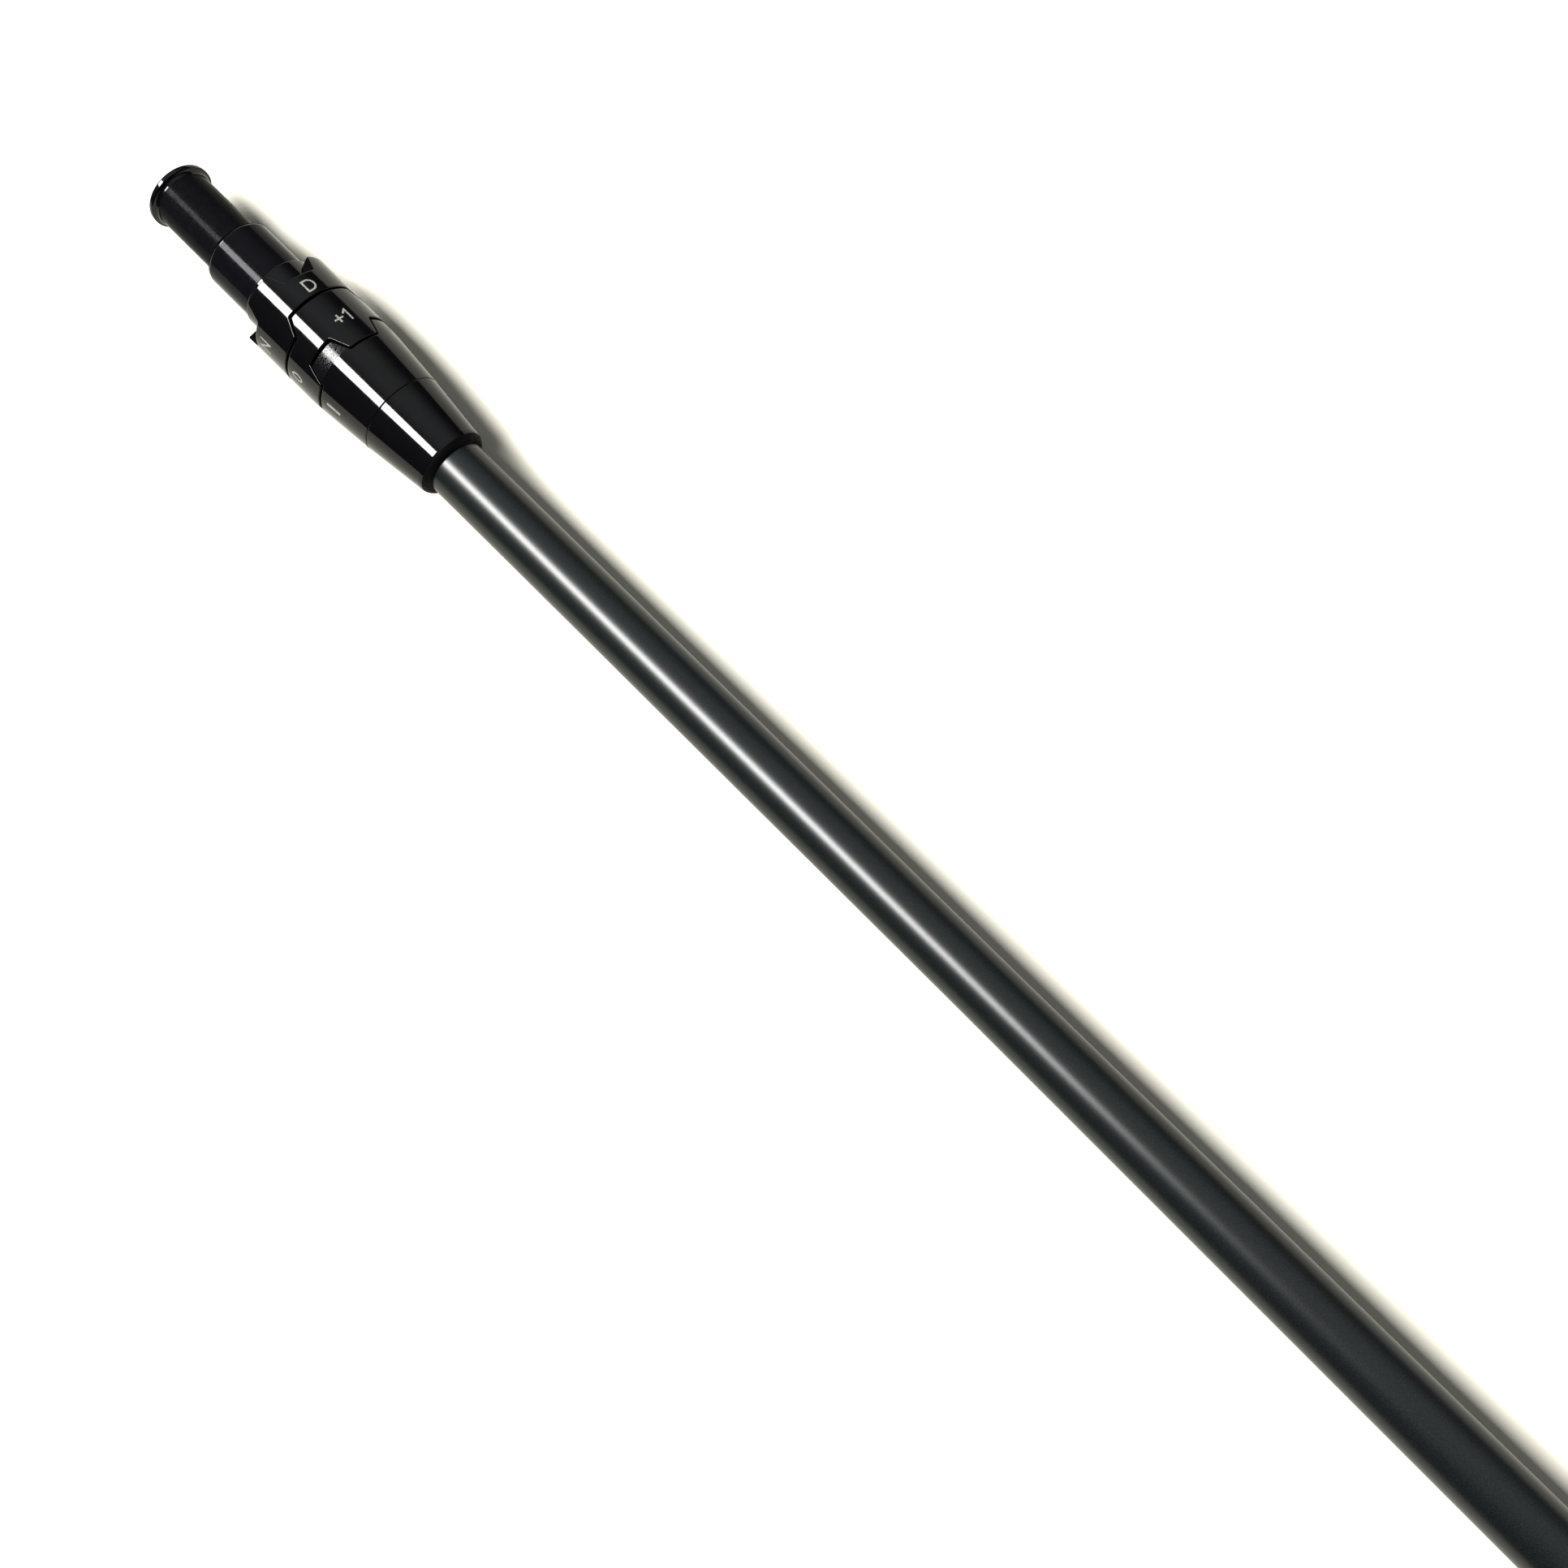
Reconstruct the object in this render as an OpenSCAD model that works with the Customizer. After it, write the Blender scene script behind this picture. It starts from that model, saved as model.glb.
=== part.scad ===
// Driver shaft with an adjustable two-cog hosel adapter and a rubber grip.
// +X runs along the shaft from the adapter's tip face to the butt, +Z is up. Millimetres.

/* [Overall] */
// Length from the adapter's tip face to the top of the grip cap
overall_length = 1130; // [1110:5:1160]
// Smoothness of round parts: segments in a circle
segments = 96; // [48:8:128]

/* [Adapter sleeve] */
// Diameter of the rim round the tip face
rim_d = 10.1; // [9.8:0.05:10.4]
// Length of the rim before its fillet
rim_length = 0.8; // [0.6:0.1:1.2]
// Diameter of the spigot between the rim and the barrel
spigot_d = 8.76; // [8.4:0.02:9]
// Distance from the tip face to the barrel
barrel_start = 13.1; // [12.5:0.1:14]
// Diameter of the journal, the bare stretch of barrel that fits the head's hosel
journal_d = 10.7; // [10.66:0.01:10.72]
// Diameter of the barrel under the two cogs and the collar
cog_seat_d = 10.3; // [10.2:0.02:10.36]
// Tapping diameter of the hole for the head's M5 screw
screw_hole_d = 4.2; // [4.2:0.1:4.4]
// Depth of the screw hole
screw_hole_depth = 11.5; // [9:0.5:12]

/* [Cogs] */
// Outer diameter of both cogs
cog_d = 15.06; // [14.8:0.02:15.2]
// Bore of both cogs
cog_bore_d = 10.76; // [10.74:0.01:10.8]
// Diameter of the lie cog's front boss
boss_d = 11.36; // [11.2:0.02:11.6]
// Turn of the tooth pattern about the shaft axis, from the upward direction
index_angle = -30; // [-45:5:45]
// Axial play between tooth crests and roots
crest_play = 0.4; // [0.2:0.05:0.5]
// Turning play on each tooth flank, in degrees
flank_play = 0.3; // [0.2:0.05:0.5]

/* [Collar and ferrule] */
// Collar diameter at its toothed end
collar_front_d = 14.84; // [14.6:0.02:15]
// Collar diameter at the ferrule
collar_rear_d = 13.36; // [13:0.02:13.6]
// Ferrule diameter at the collar
ferrule_front_d = 13.26; // [13:0.02:13.4]
// Ferrule diameter where its end starts to round over
ferrule_rear_d = 11.24; // [10.8:0.02:11.6]
// Length of the rounded end of the ferrule
ferrule_lip_length = 1.75; // [1:0.05:2.2]

/* [Shaft] */
// Bare diameter of the parallel tip that is bonded into the sleeve
shaft_tip_d = 8.5; // [8.45:0.01:8.54]
// Painted diameter where the shaft leaves the ferrule
shaft_painted_d = 8.65; // [8.6:0.01:8.7]
// Diameter of the parallel butt
shaft_butt_d = 15.24; // [15:0.02:15.5]
// Bore at the tip
shaft_tip_bore_d = 3.8; // [3.4:0.1:4.2]
// Wall thickness at the butt
shaft_butt_wall = 1.05; // [0.9:0.05:1.3]
// Thickness of the adhesive round the bonded tip
bond_gap = 0.1; // [0.08:0.01:0.15]

/* [Grip] */
// Length of the grip without its cap
grip_length = 262; // [255:1:268]
// Outer diameter at the grip's mouth
grip_mouth_d = 19.6; // [19:0.1:20.5]
// Outer diameter next to the cap
grip_butt_d = 27.2; // [26:0.1:28]
// Diameter of the cap
cap_d = 29.4; // [28.5:0.1:31]
// Thickness of the cap
cap_thickness = 4.6; // [4:0.1:6]
// Diameter of the vent hole through the cap
vent_d = 3; // [2.5:0.1:3.5]
// Thickness of the double-sided tape
tape_thickness = 0.15; // [0.1:0.01:0.2]

/* [Hidden] */
$fn = segments;

// Stations along the shaft, from the tip face
journal_end = 21.5;
boss_front = 21.6;
tab_front = 23.15;
notch_root = 25.8;
lie_joint = [29.7, 32.2];     // where the loft cog's lobes and the lie cog's lobes reach
loft_joint = [36.3, 38.9];    // where the collar's lugs and the loft cog's tabs reach
cone_start = 38.6;
ferrule_front = 47.6;
lip_start = 56.65;
ferrule_end = lip_start + ferrule_lip_length;
shaft_start = 15;
parallel_tip_end = 84;
slow_taper_end = 160;
main_taper_end = 820;
butt_end = overall_length - cap_thickness;
grip_start = butt_end - grip_length;

// Half widths in degrees at mid tooth depth, and how far each flank leans over its depth
notch_half = 22.5;
lie_lobe_half = 44;
loft_lobe_half = 90 - lie_lobe_half;
loft_tab_half = 23;
lug_half = 45 - loft_tab_half;
notch_lean = 1.15;
lobe_lean = 1.55;
tab_lean = 1.2;

// Small radii and chamfers
rim_fillet_r = 0.65;
shoulder_fillet_r = 0.85;
journal_chamfer = 0.4;
edge_chamfer = 0.25;
overcut = 1;

// Radii
journal_r = journal_d / 2;
seat_r = cog_seat_d / 2;
cog_r = cog_d / 2;
cog_bore_r = cog_bore_d / 2;
boss_r = boss_d / 2;
lug_r = collar_front_d / 2;
spigot_r = spigot_d / 2;
rim_r = rim_d / 2;
tip_r = shaft_tip_d / 2;
bond_r = tip_r + bond_gap;
painted_r = shaft_painted_d / 2;
slow_taper_r = painted_r + 0.075;
butt_r = shaft_butt_d / 2;
tip_bore_r = shaft_tip_bore_d / 2;
butt_bore_r = butt_r - shaft_butt_wall;
tape_r = butt_r + tape_thickness;
parallel_bore_end = 26;
plug_start = 16;
plug_length = 7;

// Points on an arc about [x, y], both ends included
function arc(x, y, r, from, to, steps = 6) =
    [for (i = [0:steps]) let (a = from + (to - from) * i / steps) [x + r * cos(a), y + r * sin(a)]];

// Stands a shape that is built about +Z along +X, with angle 0 pointing up
module along_x() {
    rotate([0, 90, 0]) rotate([0, 0, 180]) children();
}

// A solid of revolution about the shaft axis from [radius, station] points
module turned(points) {
    along_x() rotate_extrude() polygon(points);
}

// A plain cylinder about the shaft axis between two stations
module rod(r, from, to) {
    along_x() translate([0, 0, from]) cylinder(r = r, h = to - from);
}

// The space between two teeth: its root is at height 0 and its mouth at height depth and beyond.
// Each flank is flat, holds the radial line at half_angle at mid depth, and leans out to the mouth.
module tooth_space(half_angle, depth, lean) {
    inner_r = seat_r - 0.4;
    outer_r = cog_r + 0.2;
    half_lean = lean / 2;
    lap = half_lean * (outer_r / inner_r - 1) + 0.1;
    mouth = depth + overcut;
    floor_half = half_angle - atan(half_lean / inner_r);
    rotate([0, 0, -floor_half]) rotate_extrude(angle = 2 * floor_half)
        translate([inner_r, 0]) square([outer_r - inner_r, mouth]);
    for (side = [-1, 1])
        rotate([0, 0, side * half_angle]) translate([inner_r, 0, 0]) rotate([90, 0, 90])
            linear_extrude(height = outer_r - inner_r)
                polygon([
                    [-side * (half_lean + lap), 0],
                    [-side * half_lean, 0],
                    [side * (half_lean + lean * overcut / depth), mouth],
                    [-side * (half_lean + lap), mouth]
                ]);
}

// A ring of tooth spaces that open toward the butt from station root
module spaces_open_to_butt(count, first_angle, half_angle, root, mouth, lean) {
    for (i = [0:count - 1])
        along_x() translate([0, 0, root]) rotate([0, 0, first_angle + i * 360 / count])
            tooth_space(half_angle + flank_play, mouth - root, lean);
}

// A ring of tooth spaces that open toward the tip from station root
module spaces_open_to_tip(count, first_angle, half_angle, root, mouth, lean) {
    for (i = [0:count - 1])
        along_x() translate([0, 0, root]) rotate([0, 0, first_angle + i * 360 / count])
            mirror([0, 0, 1]) tooth_space(half_angle + flank_play, root - mouth, lean);
}

// Sleeve: tapped spigot, journal, seat for the cogs and collar, and a bore for the shaft tip
module adapter_sleeve() {
    fillet_x = rim_length + rim_fillet_r;
    outline = concat(
        [[0, 0], [rim_r - edge_chamfer, 0], [rim_r, edge_chamfer], [rim_r, rim_length]],
        arc(spigot_r + rim_fillet_r, fillet_x, rim_fillet_r, 270, 180),
        arc(spigot_r + shoulder_fillet_r, barrel_start - shoulder_fillet_r, shoulder_fillet_r, 180, 90),
        [
            [journal_r - journal_chamfer, barrel_start],
            [journal_r, barrel_start + journal_chamfer],
            [journal_r, journal_end],
            [seat_r, journal_end],
            [seat_r, ferrule_front],
            [0, ferrule_front]
        ]
    );
    color("#191b1e") difference() {
        turned(outline);
        rod(screw_hole_d / 2, -overcut, screw_hole_depth);
        rod(bond_r, shaft_start, ferrule_front + overcut);
    }
}

// Tip-side cog: boss, four front notches that key into the head, two rear lobes
module lie_cog() {
    color("#121315") difference() {
        union() {
            difference() {
                rod(cog_r, tab_front, lie_joint[1] - crest_play / 2);
                spaces_open_to_tip(4, index_angle, notch_half, notch_root, tab_front, notch_lean);
            }
            turned([
                [0, boss_front],
                [boss_r - edge_chamfer / 2, boss_front],
                [boss_r, boss_front + edge_chamfer / 2],
                [boss_r, notch_root + overcut],
                [0, notch_root + overcut]
            ]);
        }
        rod(cog_bore_r, boss_front - overcut, lie_joint[1] + overcut);
        spaces_open_to_butt(2, index_angle, loft_lobe_half, lie_joint[0] - crest_play / 2, lie_joint[1],
            lobe_lean);
    }
}

// Second cog: two front lobes that key into the lie cog, four rear tabs
module loft_cog() {
    color("#131416") difference() {
        rod(cog_r, lie_joint[0] + crest_play / 2, loft_joint[1]);
        rod(cog_bore_r, lie_joint[0] - overcut, loft_joint[1] + overcut);
        spaces_open_to_tip(2, index_angle + 90, lie_lobe_half, lie_joint[1] + crest_play / 2, lie_joint[0],
            lobe_lean);
        spaces_open_to_butt(4, index_angle + 45, lug_half, loft_joint[0] - crest_play, loft_joint[1],
            tab_lean);
    }
}

// Ring bonded to the sleeve: four lugs that hold the loft cog, and the cone that carries the index tick
module index_collar() {
    color("#101113") difference() {
        turned([
            [seat_r, loft_joint[0]],
            [lug_r, loft_joint[0]],
            [lug_r, cone_start],
            [collar_rear_d / 2, ferrule_front],
            [seat_r, ferrule_front]
        ]);
        spaces_open_to_tip(4, index_angle, loft_tab_half, loft_joint[1] + crest_play / 2, loft_joint[0],
            tab_lean);
    }
}

// Tapered trim ring with a rounded end
module ferrule() {
    lip_height = ferrule_rear_d / 2 - painted_r;
    lip = [
        for (a = [90:-15:15])
            [painted_r + lip_height * sin(a), lip_start + ferrule_lip_length * cos(a)]
    ];
    color("#0e0f10") turned(concat(
        [[painted_r, ferrule_front], [ferrule_front_d / 2, ferrule_front]],
        lip,
        [[painted_r, ferrule_end]]
    ));
}

// Cured adhesive between the shaft tip and the sleeve
module epoxy_bond() {
    color("#c9b27a") difference() {
        rod(bond_r, shaft_start, ferrule_front);
        rod(tip_r, shaft_start - overcut, ferrule_front + overcut);
    }
}

// Plug that keeps adhesive out of the shaft
module tip_plug() {
    color("#b58a5a") rod(tip_bore_r, plug_start, plug_start + plug_length);
}

// Hollow tapered shaft: bare bonded tip, painted from the ferrule to the butt
module shaft() {
    color("#34393a") difference() {
        turned([
            [0, shaft_start],
            [tip_r, shaft_start],
            [tip_r, ferrule_front],
            [painted_r, ferrule_front],
            [painted_r, parallel_tip_end],
            [slow_taper_r, slow_taper_end],
            [butt_r, main_taper_end],
            [butt_r, butt_end],
            [0, butt_end]
        ]);
        rod(tip_bore_r, shaft_start - overcut, parallel_bore_end);
        turned([
            [0, parallel_bore_end],
            [tip_bore_r, parallel_bore_end],
            [butt_bore_r, main_taper_end],
            [butt_bore_r, butt_end + overcut],
            [0, butt_end + overcut]
        ]);
    }
}

// Double-sided tape under the grip
module grip_tape() {
    color("#d9d4c4") difference() {
        rod(tape_r, grip_start + 2, butt_end);
        rod(butt_r, grip_start, butt_end + overcut);
    }
}

// Moulded rubber grip
module grip() {
    mouth_r = grip_mouth_d / 2;
    color("#222322") difference() {
        turned(concat(
            [[0, grip_start]],
            arc(mouth_r - 1, grip_start + 1, 1, 270, 360),
            [
                [mouth_r + 0.3 * (grip_butt_d / 2 - mouth_r), grip_start + grip_length / 3],
                [mouth_r + 0.64 * (grip_butt_d / 2 - mouth_r), grip_start + grip_length * 2 / 3],
                [grip_butt_d / 2, butt_end - 8],
                [cap_d / 2 - 0.2, butt_end],
                [0, butt_end]
            ]
        ));
        rod(tape_r, grip_start - overcut, butt_end + overcut);
    }
}

// Pre-moulded end cap with its vent hole
module grip_cap() {
    cap_r = cap_d / 2;
    edge_r = cap_thickness * 0.6;
    color("#1b1c1b") difference() {
        turned(concat(
            [[0, butt_end], [cap_r, butt_end]],
            arc(cap_r - edge_r, overall_length - edge_r, edge_r, 0, 90),
            [[0, overall_length]]
        ));
        rod(vent_d / 2, butt_end - overcut, overall_length + overcut);
    }
}

adapter_sleeve();
lie_cog();
loft_cog();
index_collar();
ferrule();
epoxy_bond();
tip_plug();
shaft();
grip_tape();
grip();
grip_cap();
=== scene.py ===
"""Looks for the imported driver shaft: an adjustable two-cog adapter, a painted shaft and a rubber grip.

The frame gives every piece its place. Each visible CAD node is replaced by a finer mesh of the same shape and
size, with rounded edges, a cut thread, painted index marks and a moulded grip. Lengths below are in
millimetres unless a name ends in _M. add_piece turns a piece's points into metres, and the functions for
the floor, light and camera do so for their own.
"""

import functools
import math

import bmesh
import bpy
from mathutils import Matrix, Vector


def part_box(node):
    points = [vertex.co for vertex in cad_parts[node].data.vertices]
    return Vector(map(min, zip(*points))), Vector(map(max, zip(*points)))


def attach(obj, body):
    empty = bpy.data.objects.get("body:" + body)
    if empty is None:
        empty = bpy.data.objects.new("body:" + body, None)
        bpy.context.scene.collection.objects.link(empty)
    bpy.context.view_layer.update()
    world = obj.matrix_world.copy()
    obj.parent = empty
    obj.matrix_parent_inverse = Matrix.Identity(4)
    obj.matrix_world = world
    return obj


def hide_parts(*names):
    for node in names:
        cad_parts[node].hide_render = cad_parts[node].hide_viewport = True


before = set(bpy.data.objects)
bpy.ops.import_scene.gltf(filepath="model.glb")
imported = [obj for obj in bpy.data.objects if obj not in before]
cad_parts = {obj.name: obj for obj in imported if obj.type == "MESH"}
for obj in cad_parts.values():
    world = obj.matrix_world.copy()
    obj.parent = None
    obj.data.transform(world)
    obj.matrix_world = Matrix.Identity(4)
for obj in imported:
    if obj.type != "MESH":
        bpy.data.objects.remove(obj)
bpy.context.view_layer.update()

MM = 0.001
WELD_M = 1e-8
TURNS = 192                 # columns round a plain turned piece
RING_COLUMNS = 144          # evenly spread columns round a toothed ring
COLUMN_CLEARANCE = 0.8      # degrees that an even column keeps from one that an edge needs
SMOOTH_UNDER = math.radians(34)
SUPPORT = 0.06              # width of the flat strip that keeps shading clean beside a rounded edge


# ---------------------------------------------------------------- the frame, in millimetres

@functools.cache
def first(node):
    """The station where a node starts."""
    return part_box(node)[0].x / MM


@functools.cache
def last(node):
    """The station where a node ends."""
    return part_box(node)[1].x / MM


@functools.cache
def radius(node):
    """The largest radius of a node."""
    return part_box(node)[1].z / MM


# Adapter sleeve
RIM_LENGTH = 0.8
RIM_R = 5.05
SPIGOT_R = 4.38
RIM_FILLET = 0.65
BARREL_START = 13.1
SHOULDER_FILLET = 0.85
JOURNAL_R = radius("adapter_sleeve")
JOURNAL_END = 21.5
SEAT_R = 5.15
BOND_R = 4.35
SHAFT_START = first("shaft")
SCREW_DEPTH = 11.5
THREAD_MINOR_R = 2.1
THREAD_MAJOR_R = 2.5
THREAD_PITCH = 0.8
MOUTH_R = 2.75
MOUTH_STEP = 0.3            # how much wider the tapped hole's mouth is than the hole just inside it
RIM_FRONT_ROUND = 0.3
RIM_REAR_ROUND = 0.2
SHOULDER_ROUND = 0.42       # journal's front edge
JOURNAL_REAR_ROUND = 0.1
DRILL_POINT = 0.9           # depth of the drilled hole's point past the thread
THREAD_RUN_OUT = 1.0        # plain stretch at the bottom of the hole
THREAD_FADE = 0.8           # length over which the thread fades out
THREAD_LEAD_IN = 0.5        # share of its depth that the thread has at the mouth
THREAD_POINTS = 10          # outline points to a thread pitch

# Cogs and collar
COG_R = radius("lie_cog")
COG_BORE_R = 5.38
BOSS_R = 5.68
INDEX_ANGLE = -30
EDGE_ROUND = 0.14
EDGE_STEPS = 4
BOSS_ROUND = 0.16
TAB_FRONT = 23.15
NOTCH_ROOT = 25.8
COLLAR_FRONT_R = radius("index_collar")
COLLAR_REAR_R = 6.68
CONE_START = 38.6
CONE_BLEND = 1.2
LIE_LOBE_ROOT = 29.5
LOFT_LOBE_ROOT = 32.4
LOFT_TAB_ROOT = 35.9
LUG_ROOT = 39.1
LOBE_LEAN = 1.44

# Ferrule and shaft
FERRULE_R = radius("ferrule")
FERRULE_REAR_R = 5.62
FERRULE_FRONT_ROUND = 0.12
LIP_LENGTH = 1.75
LIP_DULL_FROM = 0.45        # share of the lip where its dull end starts
TIP_R = 4.25
TIP_ROUND = 0.3
TIP_BORE_R = 1.9
PAINT_START = first("ferrule")
PAINTED_R = 4.325
PARALLEL_TIP_END = 84
SLOW_TAPER_END = 160
MAIN_TAPER_END = 820
SLOW_TAPER_RISE = 0.075     # what the radius gains over the slow taper
SHAFT_WALL = 1.05
TIP_BORE_END = 26
BUTT_R = radius("shaft")
BUTT_END = last("shaft")

# Grip
GRIP_MOUTH_R = 9.8
GRIP_BUTT_R = 13.6
GRIP_BORE_R = 7.77
GRIP_MOUTH_ROUND = 1.2
GRIP_FLARE = 8              # length that flares out to the cap
GRIP_STEP = 0.55            # spacing of the outline's points, fine enough for the grooves
GRIP_COLUMNS = 180
CAP_R = radius("grip_cap")
CAP_STEP = 0.2              # how far the cap stands out from the grip
CAP_FRONT_ROUND = 0.25
CAP_RING_DEPTH = 0.3
CAP_RING_TOP = 0.5          # half width of a ring at the cap's face
CAP_RING_FLOOR = 0.2        # half width of a ring at its floor
VENT_R = 1.5
VENT_ROUND = 0.4
GRIP_PANELS = 4
GRIP_HELICES = 14
GRIP_LEAD = 9.0
GRIP_HELIX_DEPTH = 0.45
GRIP_HELIX_SHARE = 0.26     # a helical groove's share of its repeat
GRIP_RING_DEPTH = 0.5
GRIP_RING_PITCH = 2.5
GRIP_RING_SHARE = 0.6
GRIP_RING_REACH = 4.4       # how far rings spread to each side of a panel's border
GRIP_PANEL_MARGIN = 5
GRIP_PANEL_FADE = 1.5
GRIP_PLAIN_FRONT = 10
GRIP_PLAIN_BACK = 14

# Index marks
MARK_HEIGHT = 2.15
MARK_STROKE = 0.29
MARK_GAP = 0.07             # between two characters, as a share of their height
MARK_STEP = 0.2             # longest stretch of a stroke, so that it follows its ring
LIE_MARK_X = 27.9
LOFT_MARK_X = 34.5
TICK_ANGLE = 59
TICK_FROM = 40.3
TICK_TO = 42.8
TICK_WIDTH = 0.5
TICK_STEP = 0.3
PAINT_PROUD = 0.012
PAINT_SUNK = 0.04
STROKE_LIFT = 0.002         # each further stroke lies this much higher, so that no two faces coincide

# Light, floor and camera. A room value is (from, to, low, high): what the world's strength does over a
# stretch of the direction's Y (side) or Z (height).
STRIP_HEIGHT = 1500
STRIP_X = (-2200, 325)
STRIP_Y = (-705, -189)
STRIP_RADIANCE = 27
FLOOR_COLOUR = (0.45, 0.44, 0.395)
FLOOR_REACH = 6000
FLOOR_GAP = 0.02
ROOM_SIDE = (-0.35, 0.35, 0.06, 0.85)
ROOM_HEIGHT = (0.15, 0.8, 0.03, 1.0)
CAMERA_PLACE = (145.7, 0.6, 201.7)
CAMERA_TILT = 6.6
CAMERA_ROLL = 44.55
CAMERA_LENS = 34.66
VIEW_GAMMA = 0.8
VIEW_EXPOSURE = 0.1


# ---------------------------------------------------------------- mesh helpers

def add_piece(name, points, faces, body, materials, replaced=(), kinds=None):
    """Makes a mesh piece from points in millimetres, shades it, and ties it to its CAD body.

    materials are Blender materials, and kinds says which of them each face takes.
    """
    mesh = bpy.data.meshes.new(name)
    mesh.from_pydata([tuple(MM * c for c in p) for p in points], [], faces)
    for material in materials:
        mesh.materials.append(material)
    if kinds:
        mesh.polygons.foreach_set("material_index", kinds)
    shape = bmesh.new()
    shape.from_mesh(mesh)
    bmesh.ops.remove_doubles(shape, verts=shape.verts, dist=WELD_M)
    bmesh.ops.recalc_face_normals(shape, faces=shape.faces)
    shape.to_mesh(mesh)
    shape.free()
    mesh.shade_smooth()
    mesh.set_sharp_from_angle(angle=SMOOTH_UNDER)
    piece = bpy.data.objects.new(name, mesh)
    bpy.context.scene.collection.objects.link(piece)
    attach(piece, body)
    if replaced:
        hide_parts(*replaced)
    return piece


def polar(station, r, degrees):
    """A point in the shaft's own cylinder coordinates: 0 degrees is up, and angles grow towards -Y."""
    a = math.radians(degrees)
    return (station, -r * math.sin(a), r * math.cos(a))


def arc(station, r, size, start, end, steps=6):
    """Points (station, r) on an arc about a centre; angles in degrees, 0 along +station, 90 outwards."""
    points = []
    for i in range(steps + 1):
        a = math.radians(start + (end - start) * i / steps)
        points.append((station + size * math.cos(a), r + size * math.sin(a)))
    return points


def supported(outline, closed):
    """The outline with a point added just inside both ends of every long straight stretch."""
    result = []
    count = len(outline)
    for i, (x0, r0) in enumerate(outline):
        result.append((x0, r0))
        if i == count - 1 and not closed:
            break
        x1, r1 = outline[(i + 1) % count]
        length = math.hypot(x1 - x0, r1 - r0)
        if length > 5 * SUPPORT:
            for share in (SUPPORT / length, 1 - SUPPORT / length):
                result.append((x0 + (x1 - x0) * share, r0 + (r1 - r0) * share))
    return result


def grid_faces(columns, rows, closed=True):
    """Quads of a grid that closes on itself round the axis; point (column, row) is column * rows + row."""
    faces = []
    for c in range(columns):
        after = (c + 1) % columns
        for r in range(rows if closed else rows - 1):
            beyond = (r + 1) % rows
            faces.append((c * rows + r, after * rows + r, after * rows + beyond, c * rows + beyond))
    return faces


def turned(name, outline, body, materials, replaced=(), columns=TURNS, zone=None, cut=None,
           closed=True):
    """A piece turned about the shaft axis from an outline of (station, radius).

    A closed outline stays clear of the axis; an open one starts and ends on it. zone(station, radius) picks a
    face's material, and cut(station, radius, degrees) changes a point's radius, as for a thread.
    """
    outline = supported(outline, closed)
    rows = len(outline)
    points = []
    for c in range(columns):
        degrees = 360 * c / columns
        for x, r in outline:
            points.append(polar(x, cut(x, r, degrees) if cut else r, degrees))
    faces = grid_faces(columns, rows, closed)
    kinds = None
    if zone:
        middles = []
        for r in range(rows if closed else rows - 1):
            (x0, r0), (x1, r1) = outline[r], outline[(r + 1) % rows]
            middles.append(zone((x0 + x1) / 2, (r0 + r1) / 2))
        kinds = middles * columns
    return add_piece(name, points, faces, body, materials, replaced, kinds)


# ---------------------------------------------------------------- toothed rings

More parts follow.
